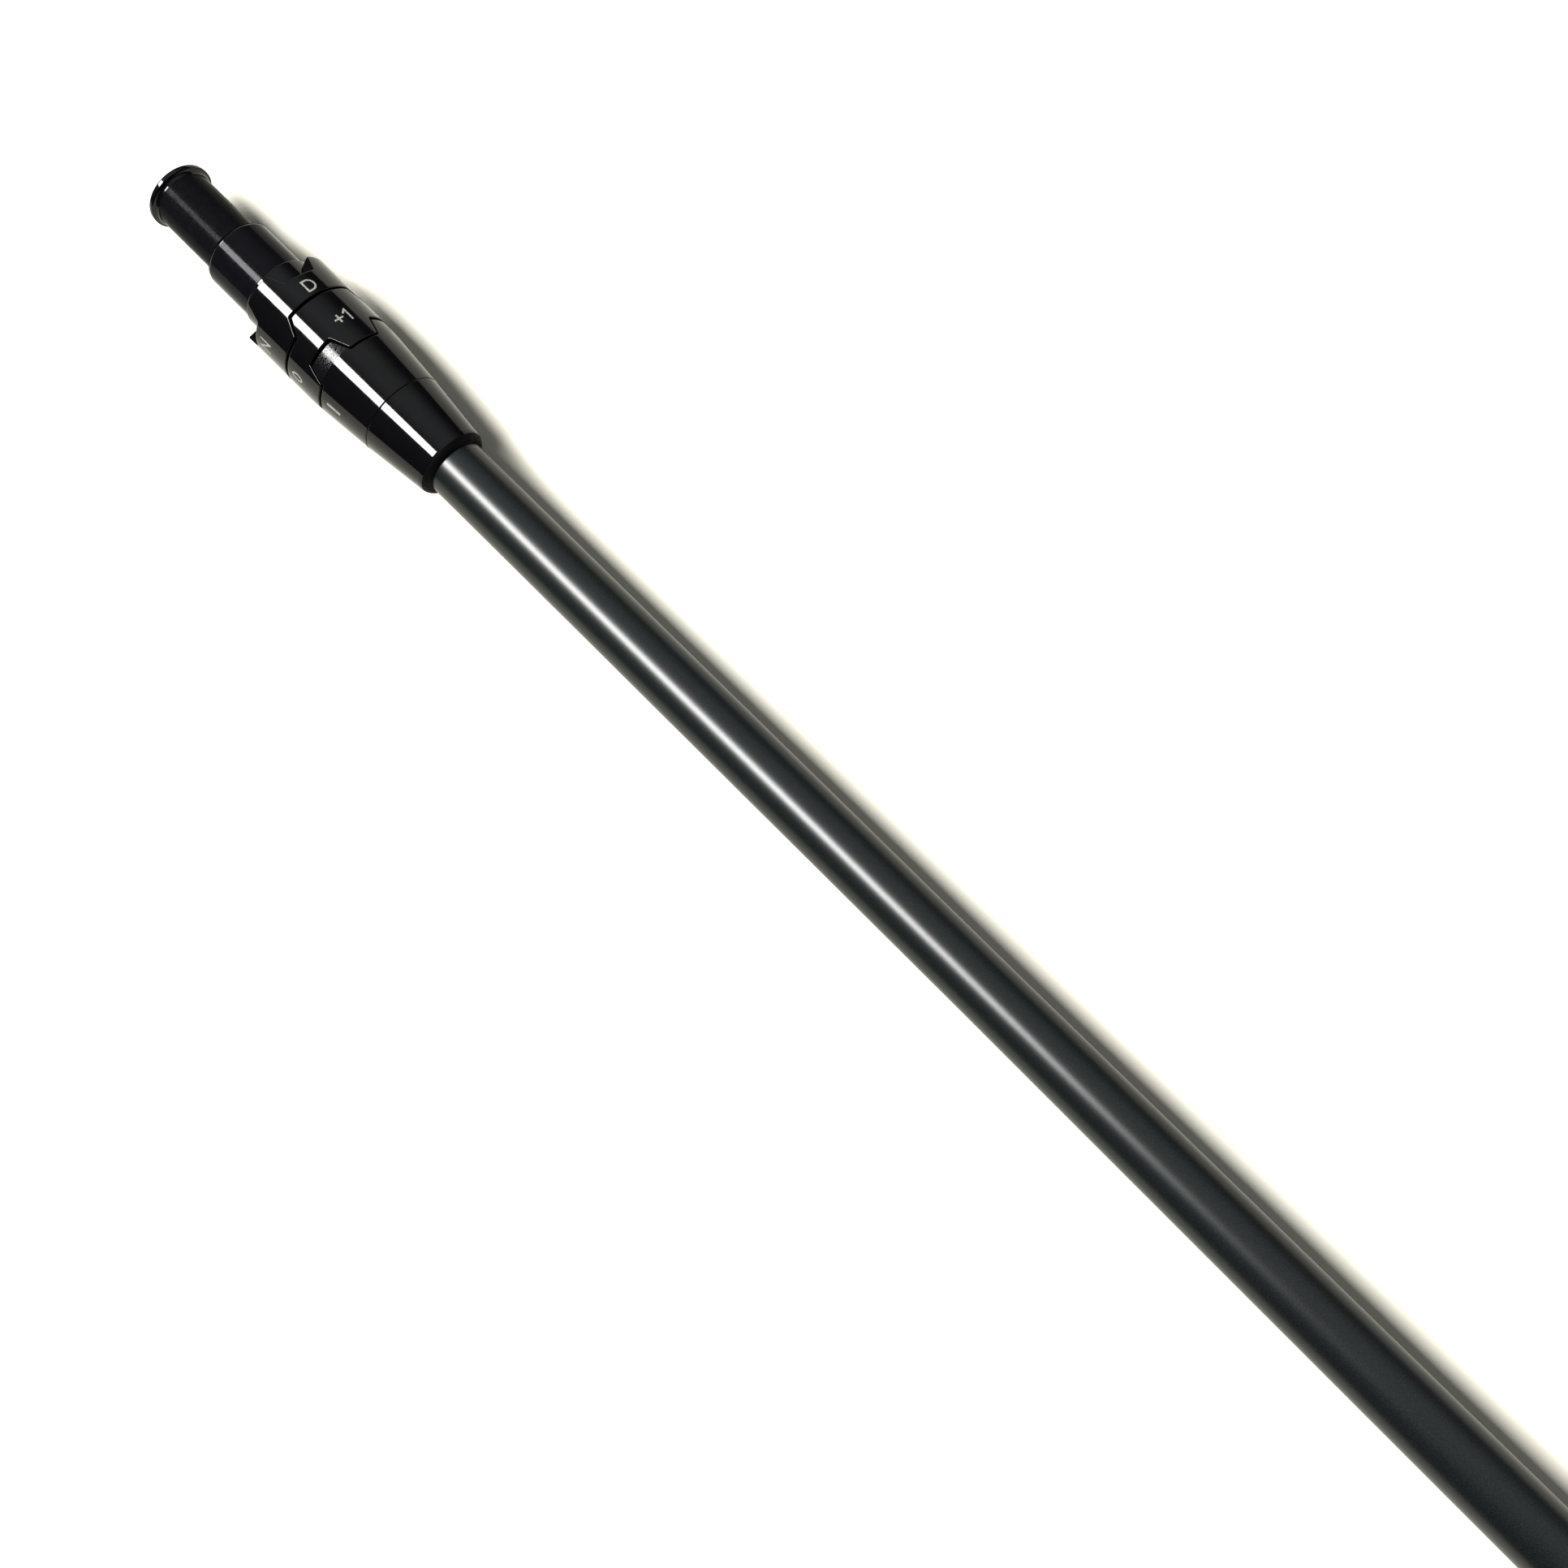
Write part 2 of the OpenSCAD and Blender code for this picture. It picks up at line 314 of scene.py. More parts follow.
class ToothEdge:
    """One toothed edge of a ring: the station of the edge at each angle, with rounded corners.

    towards is -1 for an edge whose teeth point to the tip and 1 for one whose teeth point to the butt.
    Spaces are centred at first_angle and every 360 / count degrees. half_width is a space's half width at
    mid depth in degrees, crest and root are stations, and lean is how far a flank leans round the ring.
    """

    CREST_ROUND = 0.42
    ROOT_ROUND = 0.3
    CORNER_STEPS = 8
    CORNER_MARGIN = 0.15        # a column stands this far outside each rounded corner

    def __init__(self, towards, count, first_angle, half_width, crest, root, lean, r=COG_R):
        self.towards, self.count, self.first_angle = towards, count, first_angle
        self.crest, self.depth, self.r = crest, abs(root - crest), r
        self.inset = EDGE_ROUND + SUPPORT
        self.slope = math.atan2(self.depth, lean)
        self.half_lean = lean / 2
        self.half_mm = math.radians(half_width) * r + self.inset * math.tan(self.slope / 2)
        self.crest_round = self.CREST_ROUND - self.inset
        self.root_round = self.ROOT_ROUND + self.inset

    def rise(self, u):
        """How deep the edge is at u millimetres past a flank's middle, going into a space."""
        crest_run = self.crest_round * math.tan(self.slope / 2)
        root_run = self.root_round * math.tan(self.slope / 2)
        crest_end = -self.half_lean + crest_run * math.cos(self.slope)
        root_start = self.half_lean - root_run * math.cos(self.slope)
        if u <= -self.half_lean - crest_run:
            return 0.0
        if u < crest_end:
            across = u + self.half_lean + crest_run
            return self.crest_round - math.sqrt(max(0.0, self.crest_round ** 2 - across ** 2))
        if u <= root_start:
            return self.depth / 2 + u * math.tan(self.slope)
        if u < self.half_lean + root_run:
            across = self.half_lean + root_run - u
            return self.depth - self.root_round + math.sqrt(max(0.0, self.root_round ** 2 - across ** 2))
        return self.depth

    def station(self, degrees):
        """The inset edge's station at an angle."""
        pitch = 360 / self.count
        off_centre = abs((degrees - self.first_angle + pitch / 2) % pitch - pitch / 2)
        u = self.half_mm - math.radians(off_centre) * self.r
        return self.crest - self.towards * (self.inset + self.rise(u))

    def outward(self, degrees):
        """The unit direction (along the shaft, round it) that leaves the ring at right angles to the edge."""
        step = 0.02
        change = self.station(degrees + step) - self.station(degrees - step)
        run = 2 * math.radians(step) * self.r
        length = math.hypot(change, run)
        return self.towards * run / length, -self.towards * change / length

    def angles(self):
        """The angles that the flanks and their rounded corners need, besides an even spread."""
        crest_run = self.crest_round * math.tan(self.slope / 2)
        root_run = self.root_round * math.tan(self.slope / 2)
        marks = []
        for i in range(self.CORNER_STEPS + 1):
            turn = self.slope * i / self.CORNER_STEPS
            marks.append(-self.half_lean - crest_run + self.crest_round * math.sin(turn))
            marks.append(self.half_lean + root_run - self.root_round * math.sin(turn))
        marks += [-self.half_lean - crest_run - self.CORNER_MARGIN,
                  self.half_lean + root_run + self.CORNER_MARGIN, 0.0]
        result = []
        for k in range(self.count):
            centre = self.first_angle + 360 * k / self.count
            for u in marks:
                away = math.degrees((self.half_mm - u) / self.r)
                result += [centre + away, centre - away]
        return result


class PlainEdge:
    """An edge of a ring with no teeth, at one station."""

    def __init__(self, towards, place):
        self.towards, self.place = towards, place

    def station(self, degrees):
        return self.place - self.towards * (EDGE_ROUND + SUPPORT)

    def outward(self, degrees):
        return self.towards, 0.0

    def angles(self):
        return []


def ring_columns(*edges):
    """Sorted angles for a ring's columns: an even spread and what its edges need, without near doubles."""
    spread = [360 * i / RING_COLUMNS for i in range(RING_COLUMNS)]
    needed = sorted({round(a % 360, 3) for edge in edges for a in edge.angles()})
    result = list(needed)
    for a in spread:
        if all(min(abs(a - b), 360 - abs(a - b)) > COLUMN_CLEARANCE for b in needed):
            result.append(a)
    return sorted(result)


def edge_points(edge, degrees, outer_r):
    """The rounded edge at one column, from its foot on the end wall to the clean strip on the outer face."""
    x = edge.station(degrees)
    along, around = edge.outward(degrees)
    points = []
    for i in range(EDGE_STEPS + 1):
        turn = math.radians(90 * i / EDGE_STEPS)
        reach = SUPPORT + EDGE_ROUND * math.cos(turn)
        drop = EDGE_ROUND * (1 - math.sin(turn))
        r = outer_r(x + along * reach) - drop
        points.append((x + along * reach, r, degrees + math.degrees(around * reach / outer_r(x))))
    points.append((x, outer_r(x), degrees))
    return points


def toothed_ring(name, front, rear, outer_r, inner_r, body, materials, boss=None):
    """A ring between two edges. boss is (radius, front station) of a collar that stands ahead of them."""
    points, rows = [], 0
    columns = ring_columns(front, rear)
    for degrees in columns:
        head = edge_points(front, degrees, outer_r)
        tail = edge_points(rear, degrees, outer_r)
        wall_x, _, wall_a = head[0]
        if boss:
            boss_r, boss_front = boss
            rounded = arc(boss_front + BOSS_ROUND, boss_r - BOSS_ROUND, BOSS_ROUND, 180, 90, 4)
            outline = [(boss_front, inner_r), (boss_front, boss_r - BOSS_ROUND - SUPPORT)] + rounded
            outline += [(boss_front + BOSS_ROUND + SUPPORT, boss_r), (wall_x - SUPPORT, boss_r)]
            outline += [(wall_x, boss_r)]
        else:
            outline = [(wall_x, inner_r), (wall_x, inner_r + SUPPORT)]
        column = [(x, r, wall_a) for x, r in outline] + head
        for share in (0.2, 0.4, 0.6, 0.8):
            x = head[-1][0] + (tail[-1][0] - head[-1][0]) * share
            column.append((x, outer_r(x), degrees))
        column += tail[::-1]
        wall_x, _, wall_a = tail[0]
        column += [(wall_x, inner_r + SUPPORT, wall_a), (wall_x, inner_r, wall_a)]
        rows = len(column)
        points += [polar(*p) for p in column]
    faces = grid_faces(len(columns), rows)
    return add_piece(name + "_shell", points, faces, body, materials, (name,))


def cog_radius(station):
    """The cogs are plain cylinders outside."""
    return COG_R


def collar_radius(station):
    """The collar is a cylinder over its lugs and then a cone, with a soft change between them."""
    past = station - CONE_START
    if past <= -CONE_BLEND / 2:
        run = 0.0
    elif past >= CONE_BLEND / 2:
        run = past
    else:
        run = (past + CONE_BLEND / 2) ** 2 / (2 * CONE_BLEND)
    taper = (COLLAR_FRONT_R - COLLAR_REAR_R) / (last("index_collar") - CONE_START)
    return COLLAR_FRONT_R - taper * run


def lie_cog(materials):
    """Tip-side cog: boss, four front notches that key into a head, two rear lobes."""
    front = ToothEdge(-1, 4, INDEX_ANGLE, half_width=22.8, crest=TAB_FRONT, root=NOTCH_ROOT, lean=1.15)
    rear = ToothEdge(1, 2, INDEX_ANGLE, half_width=46.3, crest=last("lie_cog"), root=LIE_LOBE_ROOT,
                     lean=LOBE_LEAN)
    boss = (BOSS_R, first("lie_cog"))
    return toothed_ring("lie_cog", front, rear, cog_radius, COG_BORE_R, "lie_cog", materials,
                        boss)


def loft_cog(materials):
    """Second cog: two front lobes that key into the lie cog, four rear tabs."""
    front = ToothEdge(-1, 2, INDEX_ANGLE + 90, half_width=44.3, crest=first("loft_cog"),
                      root=LOFT_LOBE_ROOT, lean=LOBE_LEAN)
    rear = ToothEdge(1, 4, INDEX_ANGLE + 45, half_width=22.3, crest=last("loft_cog"), root=LOFT_TAB_ROOT,
                     lean=1.2)
    return toothed_ring("loft_cog", front, rear, cog_radius, COG_BORE_R, "loft_cog", materials)


def index_collar(materials):
    """Ring with four lugs and a cone; the lug zone is the slightly hazy part of it."""
    front = ToothEdge(-1, 4, INDEX_ANGLE, half_width=23.3, crest=first("index_collar"), root=LUG_ROOT,
                      lean=1.2, r=COLLAR_FRONT_R)
    rear = PlainEdge(1, last("index_collar"))
    return toothed_ring("index_collar", front, rear, collar_radius, SEAT_R, "shaft_assembly",
                        materials)


# ---------------------------------------------------------------- turned pieces

def adapter_sleeve(materials):
    """Sleeve with a cut M5 thread in its tip; materials are for the spigot, journal, bore and rim."""
    spigot, journal, tapped_bore, rim = range(4)
    end = last("adapter_sleeve")
    fillet_x = RIM_LENGTH + RIM_FILLET
    steps = round(SCREW_DEPTH / THREAD_PITCH * THREAD_POINTS)
    bore = [(SCREW_DEPTH * (1 - i / steps), THREAD_MINOR_R) for i in range(steps)]
    outline = [(SCREW_DEPTH + DRILL_POINT, 0), (SCREW_DEPTH, THREAD_MINOR_R - 0.02)] + bore
    outline += [(0.02, MOUTH_R - MOUTH_STEP), (0, MOUTH_R)]
    outline += arc(RIM_FRONT_ROUND, RIM_R - RIM_FRONT_ROUND, RIM_FRONT_ROUND, 180, 90, 5)
    outline += arc(RIM_LENGTH - RIM_REAR_ROUND, RIM_R - RIM_REAR_ROUND, RIM_REAR_ROUND, 90, 0, 4)
    outline += arc(fillet_x, SPIGOT_R + RIM_FILLET, RIM_FILLET, 180, 270, 8)
    outline += arc(BARREL_START - SHOULDER_FILLET, SPIGOT_R + SHOULDER_FILLET, SHOULDER_FILLET, 270, 360, 8)
    outline += arc(BARREL_START + SHOULDER_ROUND, JOURNAL_R - SHOULDER_ROUND, SHOULDER_ROUND, 180, 90, 6)
    outline += arc(JOURNAL_END - JOURNAL_REAR_ROUND, JOURNAL_R - JOURNAL_REAR_ROUND, JOURNAL_REAR_ROUND,
                   90, 0, 3)
    outline += [(JOURNAL_END, SEAT_R), (end, SEAT_R), (end, BOND_R), (SHAFT_START, BOND_R), (SHAFT_START, 0)]

    def zone(station, r):
        if r < MOUTH_R and station > RIM_FRONT_ROUND:
            return tapped_bore
        # The polish is on the tip rim with most of its fillet, and on the journal's rounded front edge.
        on_shoulder = BARREL_START - 0.05 < station < BARREL_START + SHOULDER_ROUND - 0.02
        if station < fillet_x - 0.15 or on_shoulder:
            return rim
        return spigot if station < BARREL_START else journal

    def cut(station, r, degrees):
        if abs(r - THREAD_MINOR_R) > 0.001:
            return r
        phase = (station / THREAD_PITCH - degrees / 360) % 1
        tooth = min(1.0, 1.6 * abs(2 * phase - 1))
        lead_in = THREAD_LEAD_IN + station
        run_out = max(0.0, (SCREW_DEPTH - THREAD_RUN_OUT - station) / THREAD_FADE)
        return THREAD_MINOR_R + (THREAD_MAJOR_R - THREAD_MINOR_R) * tooth * min(1.0, lead_in, run_out)

    return turned("adapter_sleeve_shell", outline, "shaft_assembly", materials,
                  ("adapter_sleeve",), zone=zone, cut=cut, closed=False)


def ferrule(materials):
    """Tapered trim ring that rolls over to the shaft; materials are for its body and its dull end."""
    start, end = first("ferrule"), last("ferrule")
    lip_start = end - LIP_LENGTH
    lip_height = FERRULE_REAR_R - PAINTED_R
    outline = [(start, PAINTED_R)]
    outline += arc(start + FERRULE_FRONT_ROUND, FERRULE_R - FERRULE_FRONT_ROUND, FERRULE_FRONT_ROUND,
                   180, 90, 3)
    for i in range(13):
        turn = math.radians(90 - 90 * i / 12)
        outline.append((lip_start + LIP_LENGTH * math.cos(turn), PAINTED_R + lip_height * math.sin(turn)))

    def zone(station, r):
        return 1 if station > lip_start + LIP_DULL_FROM * LIP_LENGTH else 0

    return turned("ferrule_shell", outline, "shaft_assembly", materials, ("ferrule",),
                  zone=zone)


def shaft(materials):
    """Hollow tapered shaft: bare bonded tip, then paint from inside the ferrule to the butt."""
    bore_r = BUTT_R - SHAFT_WALL
    slow_end_r = PAINTED_R + SLOW_TAPER_RISE
    outline = arc(SHAFT_START + TIP_ROUND, TIP_R - TIP_ROUND, TIP_ROUND, 180, 90, 4)
    outline += [(PAINT_START, TIP_R), (PAINT_START + 0.05, PAINTED_R), (PARALLEL_TIP_END, PAINTED_R)]
    outline += [(SLOW_TAPER_END, slow_end_r)]
    for i in range(1, 41):
        share = i / 40
        station = SLOW_TAPER_END + (MAIN_TAPER_END - SLOW_TAPER_END) * share
        outline.append((station, slow_end_r + (BUTT_R - slow_end_r) * share))
    outline += [(BUTT_END, BUTT_R), (BUTT_END, bore_r), (MAIN_TAPER_END, bore_r)]
    outline += [(TIP_BORE_END, TIP_BORE_R), (SHAFT_START, TIP_BORE_R)]

    def zone(station, r):
        return 0 if station > PAINT_START and r > TIP_R else 1

    return turned("shaft_shell", outline, "shaft_assembly", materials, ("shaft",), zone=zone)


def grip_outline():
    """The grip's outer profile from its mouth to its cap, with a point about every GRIP_STEP."""
    start, end = first("grip") + GRIP_MOUTH_ROUND, last("grip")
    outline = arc(start, GRIP_MOUTH_R - GRIP_MOUTH_ROUND, GRIP_MOUTH_ROUND, 180, 90, 6)
    count = round((end - start) / GRIP_STEP)
    for i in range(1, count + 1):
        station = start + (end - start) * i / count
        outline.append((station, grip_radius(station)))
    return outline


def grip_radius(station):
    """Straight taper from the mouth, flaring a little over the last stretch before the cap."""
    start, flare_start = first("grip"), last("grip") - GRIP_FLARE
    share = (station - start) / (flare_start - start)
    if share <= 1:
        return GRIP_MOUTH_R + (GRIP_BUTT_R - GRIP_MOUTH_R) * share
    return GRIP_BUTT_R + (CAP_R - CAP_STEP - GRIP_BUTT_R) * (station - flare_start) / GRIP_FLARE


def groove(phase, width):
    """How deep a groove is, from 0 to 1, at a phase of its repeat; width is its share of the repeat."""
    away = abs((phase % 1) - 0.5)
    return 0.5 + 0.5 * math.cos(math.pi * min(1.0, away / (width / 2)))


def grip_relief(station, degrees):
    """Depth of the moulded pattern: crossing helical grooves in panels, with three rings between panels."""
    along = station - first("grip") - GRIP_PLAIN_FRONT
    length = last("grip") - first("grip") - GRIP_PLAIN_FRONT - GRIP_PLAIN_BACK
    if along < 0 or along > length:
        return 0.0
    panel = length / GRIP_PANELS
    place = along % panel
    edge = min(place, panel - place)
    if edge < GRIP_RING_REACH:
        return GRIP_RING_DEPTH * groove(place / GRIP_RING_PITCH + 0.5, GRIP_RING_SHARE)
    if edge < GRIP_PANEL_MARGIN:
        return 0.0
    fade = min(1.0, (edge - GRIP_PANEL_MARGIN) / GRIP_PANEL_FADE)
    around = degrees / 360 * GRIP_HELICES
    right_hand = groove(around + along / GRIP_LEAD, GRIP_HELIX_SHARE)
    left_hand = groove(around - along / GRIP_LEAD, GRIP_HELIX_SHARE)
    return GRIP_HELIX_DEPTH * max(right_hand, left_hand) * fade


def grip(materials):
    """Rubber grip with its moulded pattern cut into the mesh."""
    outline = grip_outline()
    inner = [(last("grip"), GRIP_BORE_R), (first("grip"), GRIP_BORE_R)]
    outer_from = first("grip") + GRIP_MOUTH_ROUND + 0.1

    def cut(station, r, degrees):
        if station < outer_from or r < GRIP_BORE_R + 0.5:
            return r
        return r - grip_relief(station, degrees)

    return turned("grip_shell", outline + inner, "shaft_assembly", materials, ("grip",),
                  cut=cut, columns=GRIP_COLUMNS)


def grip_cap(materials):
    """End cap with a rounded edge, two shallow rings and its vent hole."""
    start, end = first("grip_cap"), last("grip_cap")
    edge_r = 0.6 * (end - start)
    ring_floor = end - CAP_RING_DEPTH
    outline = [(start, VENT_R), (start, CAP_R - CAP_FRONT_ROUND)]
    outline += arc(start + CAP_FRONT_ROUND, CAP_R - CAP_FRONT_ROUND, CAP_FRONT_ROUND, 180, 90, 3)
    outline += arc(end - edge_r, CAP_R - edge_r, edge_r, 90, 4, 10)
    for middle in (CAP_R - edge_r - 1.4, VENT_R + 3.2):
        outline += [(end, middle + CAP_RING_TOP), (ring_floor, middle + CAP_RING_FLOOR)]
        outline += [(ring_floor, middle - CAP_RING_FLOOR), (end, middle - CAP_RING_TOP)]
    outline += arc(end - VENT_ROUND, VENT_R + VENT_ROUND, VENT_ROUND, 0, -90, 4)[1:]
    return turned("grip_cap_shell", outline, "shaft_assembly", materials, ("grip_cap",))


# ---------------------------------------------------------------- index marks

def curve_points(centre, size, start, end, steps=14):
    """Points on an ellipse arc in a glyph's own units, angles in degrees."""
    points = []
    for i in range(steps + 1):
        a = math.radians(start + (end - start) * i / steps)
        points.append((centre[0] + size[0] * math.cos(a), centre[1] + size[1] * math.sin(a)))
    return points


# Each glyph is (width, strokes), in units of its height, with the strokes' middle lines from the left foot.
# HALF is half a stroke's width.
HALF = 0.085
GLYPHS = {
    "D": (0.86, [[(HALF, HALF), (HALF, 1 - HALF)] + curve_points((0.36, 0.5), (0.415, 0.415), 90, -90)
                 + [(HALF, HALF)]]),
    "N": (0.82, [[(HALF, 0), (HALF, 1)], [(HALF, 1 - HALF), (0.82 - HALF, HALF)],
                 [(0.82 - HALF, 0), (0.82 - HALF, 1)]]),
    "0": (0.62, [curve_points((0.31, 0.5), (0.225, 0.415), 0, 360, 28)]),
    "1": (0.44, [[(0.355, 0), (0.355, 1)], [(0.06, 0.66), (0.355, 0.93)]]),
    "2": (0.6, [curve_points((0.3, 0.7), (0.215, 0.215), 165, -35) + [(0.1, HALF)],
                [(0.0, HALF), (0.6, HALF)]]),
    "+": (0.65, [[(0, 0.47), (0.65, 0.47)], [(0.325, 0.145), (0.325, 0.795)]]),
    "-": (0.5, [[(0, 0.47), (0.5, 0.47)]]),
}


def evenly(path, step):
    """The path with extra points, so that no stretch is longer than step."""
    result = [path[0]]
    for (x0, y0), (x1, y1) in zip(path, path[1:]):
        count = max(1, math.ceil(math.hypot(x1 - x0, y1 - y0) / step))
        for i in range(1, count + 1):
            result.append((x0 + (x1 - x0) * i / count, y0 + (y1 - y0) * i / count))
    return result


def stroke_sides(path, width):
    """The left and right edge of a stroke along a path, mitred at its bends."""
    closed = math.dist(path[0], path[-1]) < 1e-6
    if closed:
        path = path[:-1]
    count = len(path)
    left, right = [], []
    for i, (x, y) in enumerate(path):
        before = path[i - 1] if closed or i > 0 else path[i]
        after = path[(i + 1) % count] if closed or i < count - 1 else path[i]
        d0 = Vector((x - before[0], y - before[1]))
        d1 = Vector((after[0] - x, after[1] - y))
        d0 = d0.normalized() if d0.length else d1.normalized()
        d1 = d1.normalized() if d1.length else d0
        along = (d0 + d1).normalized()
        reach = width / 2 / max(0.5, along.dot(d1))
        left.append((x - along.y * reach, y + along.x * reach))
        right.append((x + along.y * reach, y - along.x * reach))
    return left, right, closed


def paint_mark(name, strokes, width, place, body, materials):
    """A thin painted mark on the outside of a ring; place maps a flat point and a height to 3-D."""
    points, faces = [], []
    for order, path in enumerate(strokes):
        left, right, closed = stroke_sides(path, width)
        top = PAINT_PROUD + STROKE_LIFT * order
        first_point = len(points)
        for a, b in zip(left, right):
            points += [place(a, -PAINT_SUNK), place(a, top), place(b, top), place(b, -PAINT_SUNK)]
        count = len(left)
        for i in range(count if closed else count - 1):
            here, there = first_point + 4 * i, first_point + 4 * ((i + 1) % count)
            for k in range(4):
                faces.append((here + k, there + k, there + (k + 1) % 4, here + (k + 1) % 4))
        if not closed:
            faces.append(tuple(first_point + k for k in range(4)))
            faces.append(tuple(first_point + 4 * (count - 1) + 3 - k for k in range(4)))
    return add_piece(name, points, faces, body, materials)


def text_mark(name, text, middle_x, middle_a, surface_r, body, materials):
    """Generic dial characters centred at a station and an angle, with their tops towards the tip."""
    total = sum(GLYPHS[c][0] for c in text) + MARK_GAP * (len(text) - 1)
    strokes, left = [], -total / 2
    for c in text:
        width, paths = GLYPHS[c]
        for path in paths:
            moved = [((left + u) * MARK_HEIGHT, (v - 0.5) * MARK_HEIGHT) for u, v in path]
            strokes.append(evenly(moved, MARK_STEP))
        left += width + MARK_GAP

    def place(point, lift):
        station = middle_x - point[1]
        r = surface_r(station)
        return polar(station, r + lift, middle_a - math.degrees(point[0] / r))

    return paint_mark(name, strokes, MARK_STROKE, place, body, materials)


def index_marks(materials):
    """D and N on the lie cog, loft steps on the loft cog, and the tick on the collar to read them by."""
    for turn, (lie, loft) in enumerate([("D", "+1"), ("N", "0"), ("D", "-1"), ("N", "+2")]):
        angle = INDEX_ANGLE + 90 * turn
        text_mark(f"lie_mark_{turn}", lie, LIE_MARK_X, angle, cog_radius, "lie_cog", materials)
        text_mark(f"loft_mark_{turn}", loft, LOFT_MARK_X, angle, cog_radius, "loft_cog", materials)

    def place(point, lift):
        r = collar_radius(point[1])
        return polar(point[1], r + lift, TICK_ANGLE - math.degrees(point[0] / r))

    tick = [evenly([(0, TICK_FROM), (0, TICK_TO)], TICK_STEP)]
    paint_mark("index_tick", tick, TICK_WIDTH, place, "shaft_assembly", materials)


# ---------------------------------------------------------------- materials

class Shader:
    """A node material with one Principled shader, and short calls for the textures that drive it."""

    def __init__(self, name, colour, roughness, **uniform):
        self.material = bpy.data.materials.new(name)
        self.material.use_nodes = True
        self.tree = self.material.node_tree
        self.tree.nodes.clear()
        self.output = self.tree.nodes.new("ShaderNodeOutputMaterial")
        self.shader = self.add("ShaderNodeBsdfPrincipled")
        self.link(self.shader.outputs[0], self.output.inputs["Surface"])
        self.shader.inputs["Base Color"].default_value = (*colour, 1)
        self.shader.inputs["Roughness"].default_value = roughness
        for key, value in uniform.items():
            self.shader.inputs[key.replace("_", " ")].default_value = value
        self.place = self.add("ShaderNodeTexCoord").outputs["Object"]

    def add(self, kind, **settings):
        node = self.tree.nodes.new(kind)
        for key, value in settings.items():
            setattr(node, key, value)
        return node

    def link(self, source, target):
        self.tree.links.new(source, target)

    def stretched(self, scale):
        """Object coordinates times a scale on each axis."""
        node = self.add("ShaderNodeMapping")
        node.inputs["Scale"].default_value = scale
        self.link(self.place, node.inputs["Vector"])
        return node.outputs[0]

    def noise(self, scale, detail=3, stretch=(1, 1, 1)):
        """Noise from 0 to 1; scale is in features per metre."""
        node = self.add("ShaderNodeTexNoise")
        node.inputs["Scale"].default_value = scale
        node.inputs["Detail"].default_value = detail
        self.link(self.stretched(stretch), node.inputs["Vector"])
        return node.outputs["Fac"]

    def ramp(self, value, low, high, to_low, to_high):
        """A value mapped from one range to another, and held at its ends."""
        node = self.add("ShaderNodeMapRange")
        for key, number in (("From Min", low), ("From Max", high), ("To Min", to_low), ("To Max", to_high)):
            node.inputs[key].default_value = number
        self.link(value, node.inputs["Value"])
        return node.outputs[0]

    def combine(self, a, b, operation):
        """Two values, each a socket or a number, put through a Math node."""
        node = self.add("ShaderNodeMath", operation=operation)
        for i, value in enumerate((a, b)):
            if isinstance(value, (int, float)):
                node.inputs[i].default_value = value
            else:
                self.link(value, node.inputs[i])
        return node.outputs[0]

    def station(self):
        """Metres along the shaft."""
        node = self.add("ShaderNodeSeparateXYZ")
        self.link(self.place, node.inputs[0])
        return node.outputs["X"]

    def colour_between(self, fac, first_colour, second_colour):
        """A base colour that runs from one colour to another as fac goes from 0 to 1."""
        node = self.add("ShaderNodeMix", data_type="RGBA")
        colour_inputs = [socket for socket in node.inputs if socket.type == "RGBA"]
        colour_outputs = [socket for socket in node.outputs if socket.type == "RGBA"]
        for socket, colour in zip(colour_inputs, (first_colour, second_colour)):
            socket.default_value = (*colour, 1)
        self.link(fac, node.inputs["Factor"])
        self.link(colour_outputs[0], self.shader.inputs["Base Color"])

    def roughness(self, value):
        self.link(value, self.shader.inputs["Roughness"])

    def bump(self, height, depth_mm, strength=1.0, below=None):
        """Relief from a height value; below is the normal of a bump that this one lies on."""
        node = self.add("ShaderNodeBump")
        node.inputs["Strength"].default_value = strength
        node.inputs["Distance"].default_value = depth_mm * MM
        self.link(height, node.inputs["Height"])
        if below:
            self.link(below, node.inputs["Normal"])
        self.link(node.outputs[0], self.shader.inputs["Normal"])
        return node.outputs[0]


def gloss_black(name, haze_from=None, haze_to=None):
    """Polished black moulding: even gloss with faint handling haze, and a hazier zone where one is given."""
    s = Shader(name, (0.003, 0.003, 0.0036), 0.07, IOR=1.42)
    s.colour_between(s.noise(500), (0.0022, 0.0022, 0.0028), (0.0042, 0.0042, 0.0048))
    rough = s.ramp(s.noise(900, 4), 0.35, 0.7, 0.05, 0.09)
    if haze_from:
        grain = s.ramp(s.noise(5200, 2), 0.4, 0.62, 0.0, 0.3)
        zone_in = s.ramp(s.station(), (haze_from - 0.2) * MM, haze_from * MM, 0, 1)
        zone_out = s.ramp(s.station(), (haze_to - 0.3) * MM, haze_to * MM, 1, 0)
        in_zone = s.combine(zone_in, zone_out, "MULTIPLY")
        rough = s.combine(rough, s.combine(grain, in_zone, "MULTIPLY"), "ADD")
    s.roughness(rough)
    s.bump(s.noise(1400, 3), 0.0015)
    return s.material


def lip_finish():
    """Dull black end of the trim ring, rubbed where it is rolled over to the shaft."""
    s = Shader("ferrule_lip", (0.002, 0.002, 0.0022), 0.6, Specular_IOR_Level=0.08)
    s.colour_between(s.noise(1500), (0.0015, 0.0015, 0.0018), (0.003, 0.003, 0.0034))
    s.roughness(s.ramp(s.noise(2600, 2), 0.35, 0.65, 0.45, 0.7))
    s.bump(s.noise(2400, 2), 0.004)
    return s.material


